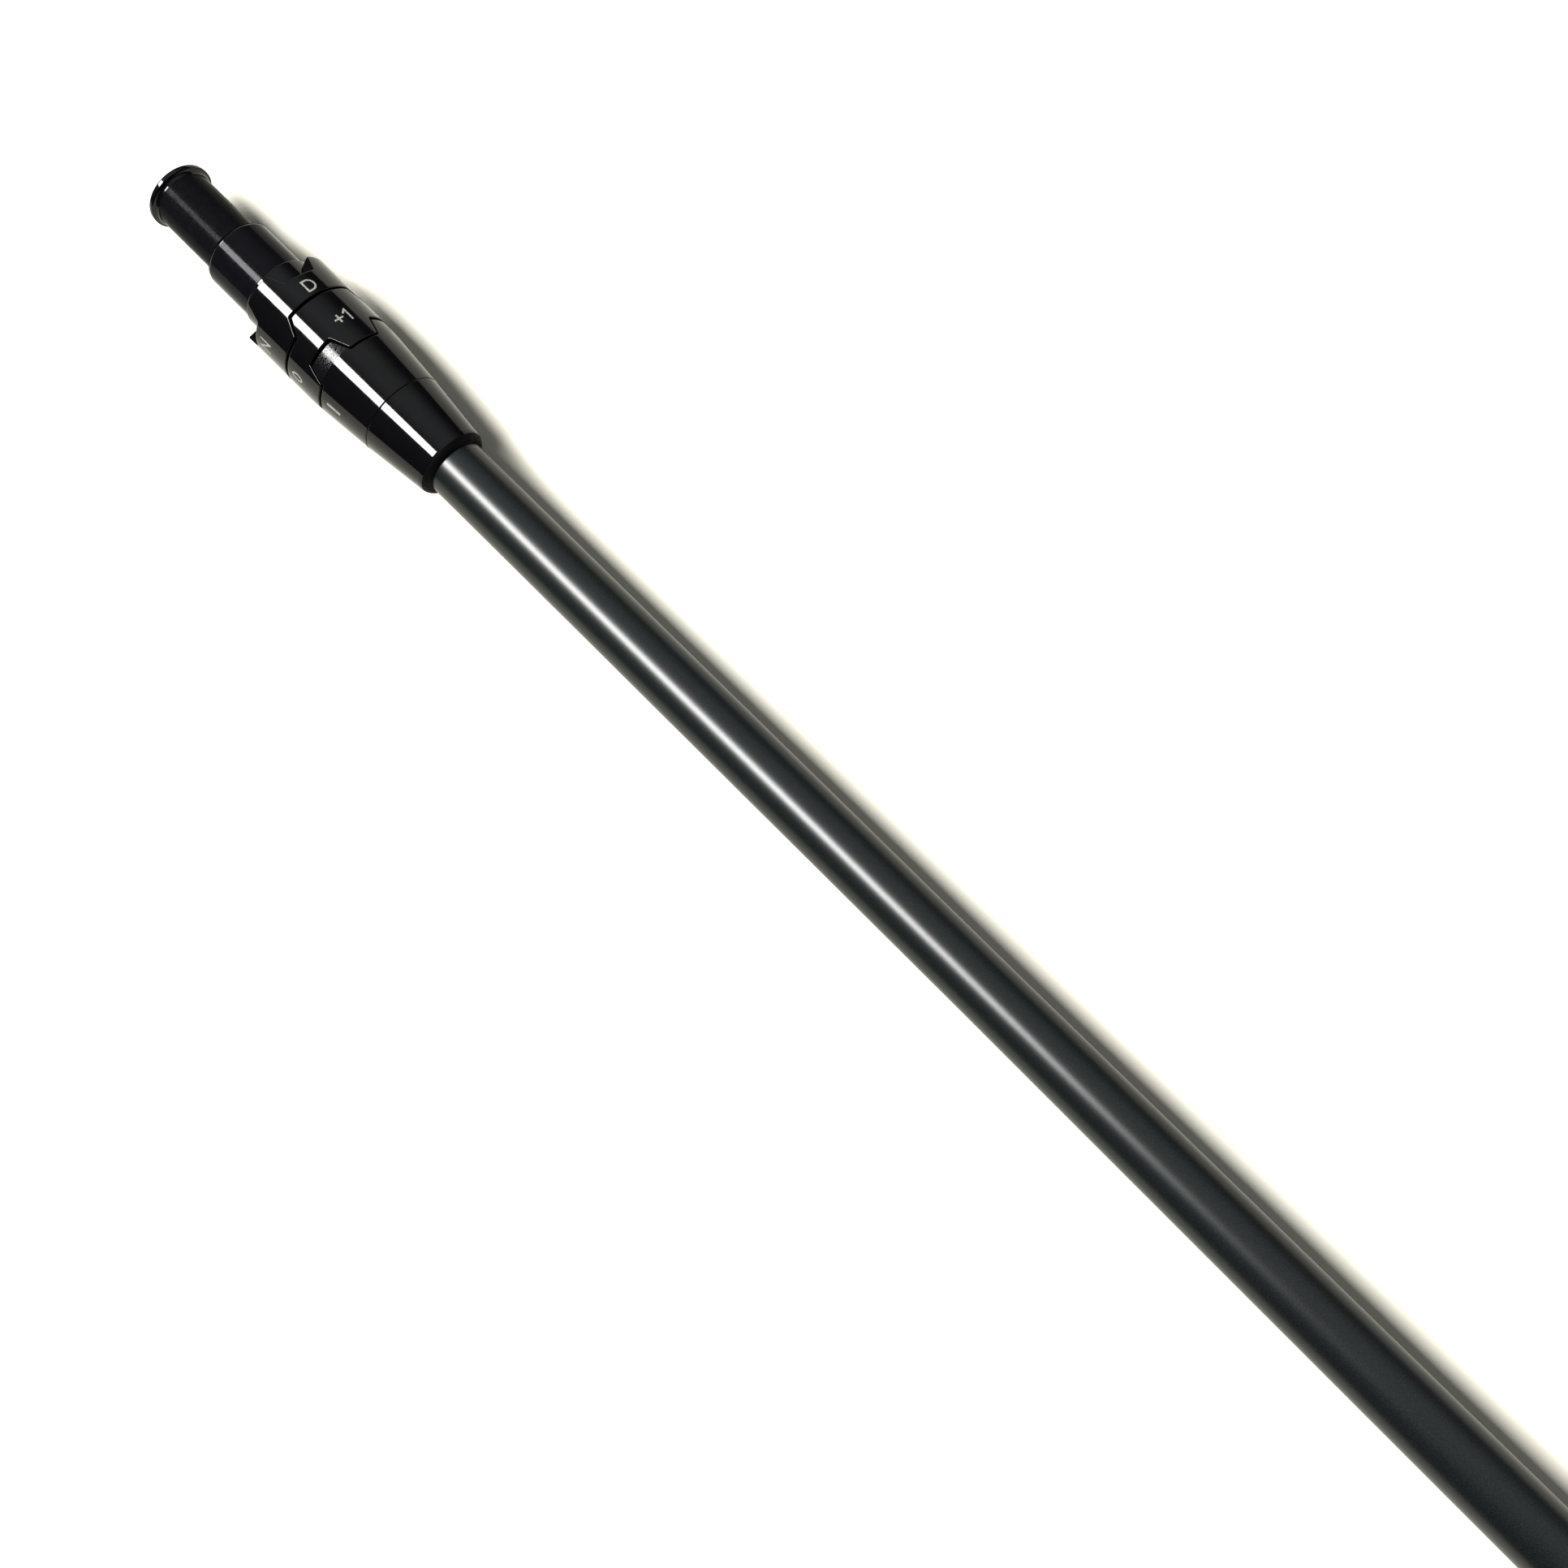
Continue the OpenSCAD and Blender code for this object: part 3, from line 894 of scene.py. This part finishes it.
def rim_finish():
    """Polished black anodising on the tip rim and on the shoulder's rounded edge."""
    s = Shader("rim_anodised", (0.003, 0.003, 0.004), 0.1, Specular_IOR_Level=0.4)
    s.colour_between(s.noise(900), (0.002, 0.002, 0.003), (0.005, 0.005, 0.006))
    s.roughness(s.ramp(s.noise(2600, 2), 0.35, 0.65, 0.07, 0.16))
    s.bump(s.noise(2200, 2), 0.001)
    return s.material


def spigot_finish():
    """Black anodised aluminium, lightly turned: fine rings and small bright specks in its sheen."""
    s = Shader("spigot_anodised", (0.004, 0.004, 0.005), 0.2, Specular_IOR_Level=0.03)
    s.colour_between(s.noise(900), (0.003, 0.003, 0.004), (0.007, 0.007, 0.008))
    s.roughness(s.ramp(s.noise(3600, 2), 0.35, 0.65, 0.1, 0.34))
    rings = s.noise(5000, 2, (1, 0.04, 0.04))
    s.bump(s.noise(3500, 2), 0.004, below=s.bump(rings, 0.003))
    return s.material


def journal_finish():
    """Black anodised aluminium where it is ground to size: smoother than the spigot."""
    s = Shader("journal_anodised", (0.004, 0.004, 0.005), 0.12, Specular_IOR_Level=0.1)
    s.colour_between(s.noise(700), (0.003, 0.003, 0.004), (0.006, 0.006, 0.008))
    s.roughness(s.ramp(s.noise(2400, 3), 0.35, 0.65, 0.08, 0.17))
    s.bump(s.noise(6000, 2, (1, 0.05, 0.05)), 0.0012)
    return s.material


def bore_finish():
    """Cut aluminium thread, thinly dyed."""
    s = Shader("bore_metal", (0.05, 0.05, 0.055), 0.35, Metallic=1.0)
    s.colour_between(s.noise(1500), (0.035, 0.035, 0.04), (0.08, 0.08, 0.085))
    s.roughness(s.ramp(s.noise(2500, 3), 0.3, 0.7, 0.25, 0.45))
    return s.material


def shaft_paint():
    """Dark grey-green satin paint with a fine metallic grain."""
    s = Shader("shaft_paint", (0.009, 0.011, 0.011), 0.3, IOR=1.5)
    grain = s.ramp(s.noise(7000, 2), 0.35, 0.7, 0, 1)
    s.colour_between(grain, (0.0035, 0.005, 0.005), (0.0105, 0.013, 0.013))
    s.roughness(s.ramp(s.noise(5200, 3), 0.3, 0.7, 0.285, 0.325))
    s.bump(s.noise(9000, 2), 0.0008, below=s.bump(s.noise(120, 2, (0.4, 1, 1)), 0.002))
    return s.material


def bare_carbon():
    """Bare graphite inside and at the bonded tip, with its wrap lines."""
    s = Shader("bare_carbon", (0.02, 0.02, 0.021), 0.55)
    s.colour_between(s.noise(2500, 3, (1, 0.15, 0.15)), (0.012, 0.012, 0.013), (0.035, 0.035, 0.036))
    s.roughness(s.ramp(s.noise(1800), 0.3, 0.7, 0.45, 0.65))
    s.bump(s.noise(2500, 3, (1, 0.15, 0.15)), 0.02)
    return s.material


def rubber(name, dark, light, roughness):
    """Moulded rubber with a fine pebbled skin and a little bloom."""
    s = Shader(name, dark, roughness)
    s.colour_between(s.ramp(s.noise(260, 5), 0.35, 0.7, 0, 1), dark, light)
    s.roughness(s.ramp(s.noise(900, 3), 0.3, 0.7, roughness - 0.08, roughness + 0.08))
    s.bump(s.noise(2600, 3), 0.035)
    return s.material


def mark_paint():
    """Off-white pad-printed ink, a little thin in places."""
    s = Shader("mark_ink", (0.2, 0.2, 0.185), 0.5, Specular_IOR_Level=0.2)
    s.colour_between(s.ramp(s.noise(5000, 3), 0.3, 0.6, 0, 1), (0.1, 0.1, 0.092), (0.22, 0.22, 0.2))
    s.roughness(s.ramp(s.noise(4000), 0.3, 0.7, 0.4, 0.6))
    return s.material


def epoxy():
    """Cured amber adhesive."""
    s = Shader("epoxy_amber", (0.58, 0.46, 0.24), 0.25)
    s.colour_between(s.noise(1200), (0.42, 0.31, 0.14), (0.66, 0.54, 0.3))
    s.roughness(s.ramp(s.noise(900), 0.3, 0.7, 0.15, 0.35))
    s.bump(s.noise(1500), 0.02)
    return s.material


def cork():
    """Granulated cork."""
    s = Shader("cork_grain", (0.42, 0.27, 0.14), 0.85)
    s.colour_between(s.noise(1800, 5), (0.2, 0.11, 0.05), (0.52, 0.35, 0.19))
    s.roughness(s.ramp(s.noise(1500), 0.3, 0.7, 0.75, 0.95))
    s.bump(s.noise(1800, 5), 0.08)
    return s.material


def paper():
    """Cream backing paper of the grip tape."""
    s = Shader("tape_paper", (0.7, 0.66, 0.55), 0.8)
    s.colour_between(s.noise(700, 5, (0.1, 1, 1)), (0.6, 0.55, 0.44), (0.74, 0.7, 0.6))
    s.roughness(s.ramp(s.noise(900), 0.3, 0.7, 0.7, 0.9))
    s.bump(s.noise(3000, 3), 0.01)
    return s.material


def finish_hidden_nodes():
    """The bonded, plugged and taped pieces inside keep their CAD shape and get their own finish."""
    finishes = (("epoxy_bond", "cured_epoxy", epoxy()), ("tip_plug", "plug_cork", cork()),
                ("grip_tape", "paper_tape", paper()))
    for node, slot, material in finishes:
        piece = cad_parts[node]
        piece.data.materials.clear()
        piece.data.materials.append(material)


# ---------------------------------------------------------------- floor, light and camera

def floor_material():
    """Matt pale card, very slightly uneven in tone."""
    s = Shader("floor_white", FLOOR_COLOUR, 0.6, Specular_IOR_Level=0.1)
    s.colour_between(s.noise(30, 3), FLOOR_COLOUR, tuple(0.97 * c for c in FLOOR_COLOUR))
    return s.material


def add_floor():
    """A pale floor that the cogs and the cap's edge lie on, so it falls away a little towards the butt."""
    front_x, front_z = TAB_FRONT, -COG_R
    back_x, back_z = first("grip_cap"), -CAP_R
    slope = (back_z - front_z) / (back_x - front_x)
    points = []
    for x_side, y_side in ((-1, -1), (1, -1), (1, 1), (-1, 1)):
        x, y = x_side * FLOOR_REACH, y_side * FLOOR_REACH
        points.append((x * MM, y * MM, (front_z + (x - front_x) * slope - FLOOR_GAP) * MM))
    mesh = bpy.data.meshes.new("floor")
    mesh.from_pydata(points, [], [(0, 1, 2, 3)])
    mesh.materials.append(floor_material())
    floor = bpy.data.objects.new("floor", mesh)
    bpy.context.scene.collection.objects.link(floor)


def add_strip_light():
    """The long ceiling light whose reflection runs down the gloss parts."""
    data = bpy.data.lights.new("strip", "AREA")
    data.shape = "RECTANGLE"
    data.size = (STRIP_X[1] - STRIP_X[0]) * MM
    data.size_y = (STRIP_Y[1] - STRIP_Y[0]) * MM
    # In Cycles an area light's radiance is a quarter of its power over its area.
    data.energy = STRIP_RADIANCE * data.size * data.size_y * 4
    data.color = (1.0, 0.995, 0.985)
    light = bpy.data.objects.new("strip", data)
    light.location = [sum(STRIP_X) / 2 * MM, sum(STRIP_Y) / 2 * MM, STRIP_HEIGHT * MM]
    light.visible_camera = False
    bpy.context.scene.collection.objects.link(light)


def add_world():
    """Soft room light: bright overhead on the +Y side, dim on the other side and near the horizon."""
    world = bpy.data.worlds.new("room")
    world.use_nodes = True
    tree = world.node_tree
    tree.nodes.clear()

    def add(kind, **settings):
        node = tree.nodes.new(kind)
        for key, value in settings.items():
            setattr(node, key, value)
        return node

    def ramp(value, low, high, to_low, to_high):
        node = add("ShaderNodeMapRange", interpolation_type="SMOOTHSTEP")
        for key, number in (("From Min", low), ("From Max", high), ("To Min", to_low), ("To Max", to_high)):
            node.inputs[key].default_value = number
        tree.links.new(value, node.inputs["Value"])
        return node.outputs[0]

    direction = add("ShaderNodeSeparateXYZ")
    tree.links.new(add("ShaderNodeTexCoord").outputs["Generated"], direction.inputs[0])
    side = ramp(direction.outputs["Y"], *ROOM_SIDE)
    height = ramp(direction.outputs["Z"], *ROOM_HEIGHT)
    product = add("ShaderNodeMath", operation="MULTIPLY")
    tree.links.new(side, product.inputs[0])
    tree.links.new(height, product.inputs[1])
    room, backdrop = add("ShaderNodeBackground"), add("ShaderNodeBackground")
    room.inputs["Color"].default_value = (0.98, 1.0, 0.99, 1)
    tree.links.new(product.outputs[0], room.inputs["Strength"])
    backdrop.inputs["Color"].default_value = (0.93, 0.93, 0.92, 1)
    mix, output = add("ShaderNodeMixShader"), add("ShaderNodeOutputWorld")
    tree.links.new(add("ShaderNodeLightPath").outputs["Is Camera Ray"], mix.inputs["Fac"])
    tree.links.new(room.outputs[0], mix.inputs[1])
    tree.links.new(backdrop.outputs[0], mix.inputs[2])
    tree.links.new(mix.outputs[0], output.inputs["Surface"])
    bpy.context.scene.world = world


def add_camera():
    """The photograph's view: over the shaft behind the adapter, tipped a little, turned about 45 degrees."""
    data = bpy.data.cameras.new("camera")
    data.sensor_width = 36
    data.lens = CAMERA_LENS
    data.clip_start = 0.01
    camera = bpy.data.objects.new("camera", data)
    tilt, roll = math.radians(CAMERA_TILT), math.radians(CAMERA_ROLL)
    along = Vector((math.cos(tilt), 0, -math.sin(tilt)))
    side = Vector((0, 1, 0))
    right = along * math.cos(roll) + side * math.sin(roll)
    up = side * math.cos(roll) - along * math.sin(roll)
    back = right.cross(up)
    camera.matrix_world = Matrix([
        (right.x, up.x, back.x, CAMERA_PLACE[0] * MM),
        (right.y, up.y, back.y, CAMERA_PLACE[1] * MM),
        (right.z, up.z, back.z, CAMERA_PLACE[2] * MM),
        (0, 0, 0, 1),
    ])
    bpy.context.scene.collection.objects.link(camera)
    bpy.context.scene.camera = camera


# ---------------------------------------------------------------- the scene

def build():
    """Every piece, then the stage."""
    add_camera()
    cog = gloss_black("cog_gloss")
    ink = [mark_paint()]
    adapter_sleeve([spigot_finish(), journal_finish(), bore_finish(), rim_finish()])
    lie_cog([cog])
    loft_cog([cog])
    index_collar([gloss_black("collar_gloss", first("index_collar"), last("loft_cog"))])
    ferrule([gloss_black("ferrule_gloss"), lip_finish()])
    shaft([shaft_paint(), bare_carbon()])
    grip([rubber("grip_rubber", (0.012, 0.012, 0.012), (0.022, 0.022, 0.021), 0.62)])
    grip_cap([rubber("cap_rubber", (0.01, 0.01, 0.01), (0.018, 0.018, 0.017), 0.5)])
    index_marks(ink)
    finish_hidden_nodes()
    add_floor()
    add_strip_light()
    add_world()
    colours = bpy.context.scene.view_settings
    colours.view_transform = "Standard"
    colours.gamma = VIEW_GAMMA
    colours.exposure = VIEW_EXPOSURE


build()
